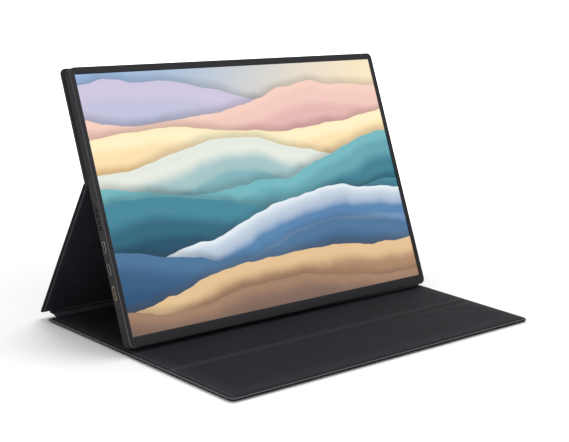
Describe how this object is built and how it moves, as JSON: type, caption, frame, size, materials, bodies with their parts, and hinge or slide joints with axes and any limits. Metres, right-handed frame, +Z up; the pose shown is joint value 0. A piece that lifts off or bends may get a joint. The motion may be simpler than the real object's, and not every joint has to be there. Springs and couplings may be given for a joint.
{
  "type": "portable monitor with cover",
  "caption": "Flat portable monitor leaning on its hinged folding cover: a rear leg, a grooved base that it stands on and a front flap.",
  "frame": {"origin": "on the table under the opened cover, in the middle of the footprint", "axes": "+X is the screen's right as seen from its front, -Y points out of the screen towards the viewer, +Z is up"},
  "size_m": [0.3562, 0.2458, 0.2159],
  "materials": {
    "frame_plastic": "fine matte, near black",
    "housing_metal": "anodised matte charcoal",
    "screen_glass": "satin, anti-glare, with a picture behind it",
    "black_tape": "matte",
    "optical_film": "satin white",
    "guide_acrylic": "clear gloss",
    "led_strip": "pale yellow",
    "tray_metal": "satin",
    "circuit_board": "green solder mask",
    "chip_plastic": "matte black",
    "ribbon_film": "amber polyimide",
    "shield_tin": "tinned",
    "screw_steel": "bright zinc",
    "socket_steel": "bright nickel",
    "socket_gold": "gold plated",
    "tongue_plastic": "matte black",
    "key_plastic": "fine matte",
    "light_plastic": "frosted clear",
    "speaker_plastic": "matte black",
    "magnet_nickel": "nickel plated",
    "cover_leather": "fine grained black artificial leather",
    "cover_lining": "smooth matte charcoal microfibre",
    "cover_board": "grey-brown hard board"
  },
  "bodies": {
    "base": {"spine_strip": "cover_leather", "spine_stiffener": "cover_board", "base_skin": "cover_leather", "rear_board": "cover_board", "mid_board": "cover_board", "base_lining": "cover_lining"},
    "flap": {"flap_skin": "cover_leather", "flap_board": "cover_board", "flap_lining": "cover_lining", "flap_magnets": "magnet_nickel"},
    "leg": {"leg_skin": "cover_leather", "leg_board": "cover_board", "leg_lining": "cover_lining", "upper_fold": "cover_leather", "lower_fold": "cover_leather"},
    "display": {"front_frame": "frame_plastic", "screen_tape": "black_tape", "lcd_cell": "screen_glass", "diffuser_films": "optical_film", "light_guide": "guide_acrylic", "led_bar": "led_strip", "reflector_sheet": "optical_film", "panel_tray": "tray_metal", "driver_board": "circuit_board", "panel_ribbon": "ribbon_film", "rear_housing": "housing_metal", "main_board": "circuit_board", "main_chips": "chip_plastic", "shield_can": "shield_tin", "board_screws": "screw_steel", "usb_c_upper": "socket_steel", "usb_c_lower": "socket_steel", "usb_c_tongues": "tongue_plastic", "mini_hdmi": "socket_gold", "mini_hdmi_tongue": "tongue_plastic", "button_board": "circuit_board", "key_switches": "chip_plastic", "status_light": "light_plastic", "speaker_left": "speaker_plastic", "speaker_right": "speaker_plastic", "housing_magnets": "magnet_nickel", "upper_skin": "cover_leather", "upper_board": "cover_board", "upper_lining": "cover_lining", "cover_magnets": "magnet_nickel"},
    "power_key": {"power_button": "key_plastic"},
    "menu_key": {"menu_button": "key_plastic"},
    "plus_key": {"plus_button": "key_plastic"},
    "minus_key": {"minus_button": "key_plastic"}
  },
  "joints": [
    {"name": "lower_fold_hinge", "type": "hinge", "parent": "base", "child": "leg", "pos_m": [0, 0.1217, 0.0029], "axis": [1, 0, 0], "range_deg": [-23, 16]},
    {"name": "upper_fold_hinge", "type": "hinge", "parent": "leg", "child": "display", "pos_m": [0, 0.06304, 0.12707], "axis": [-1, 0, 0], "range_deg": [-46.5, 32.4]},
    {"name": "flap_hinge", "type": "hinge", "parent": "base", "child": "flap", "pos_m": [0, -0.0559, 0.0018], "axis": [1, 0, 0], "range_deg": [-90, 0]},
    {"name": "power_key_press", "type": "slide", "parent": "display", "child": "power_key", "axis": [1, 0, 0], "range_m": [0, 0.0004], "stiffness_N_per_m": 1000, "springref_m": -0.0005},
    {"name": "menu_key_press", "type": "slide", "parent": "display", "child": "menu_key", "axis": [1, 0, 0], "range_m": [0, 0.0004], "stiffness_N_per_m": 1000, "springref_m": -0.0005},
    {"name": "plus_key_press", "type": "slide", "parent": "display", "child": "plus_key", "axis": [1, 0, 0], "range_m": [0, 0.0004], "stiffness_N_per_m": 1000, "springref_m": -0.0005},
    {"name": "minus_key_press", "type": "slide", "parent": "display", "child": "minus_key", "axis": [1, 0, 0], "range_m": [0, 0.0004], "stiffness_N_per_m": 1000, "springref_m": -0.0005}
  ],
  "couplings": [
    {"joint": "upper_fold_hinge", "follows": "lower_fold_hinge", "ratio": 2.0195}
  ]
}
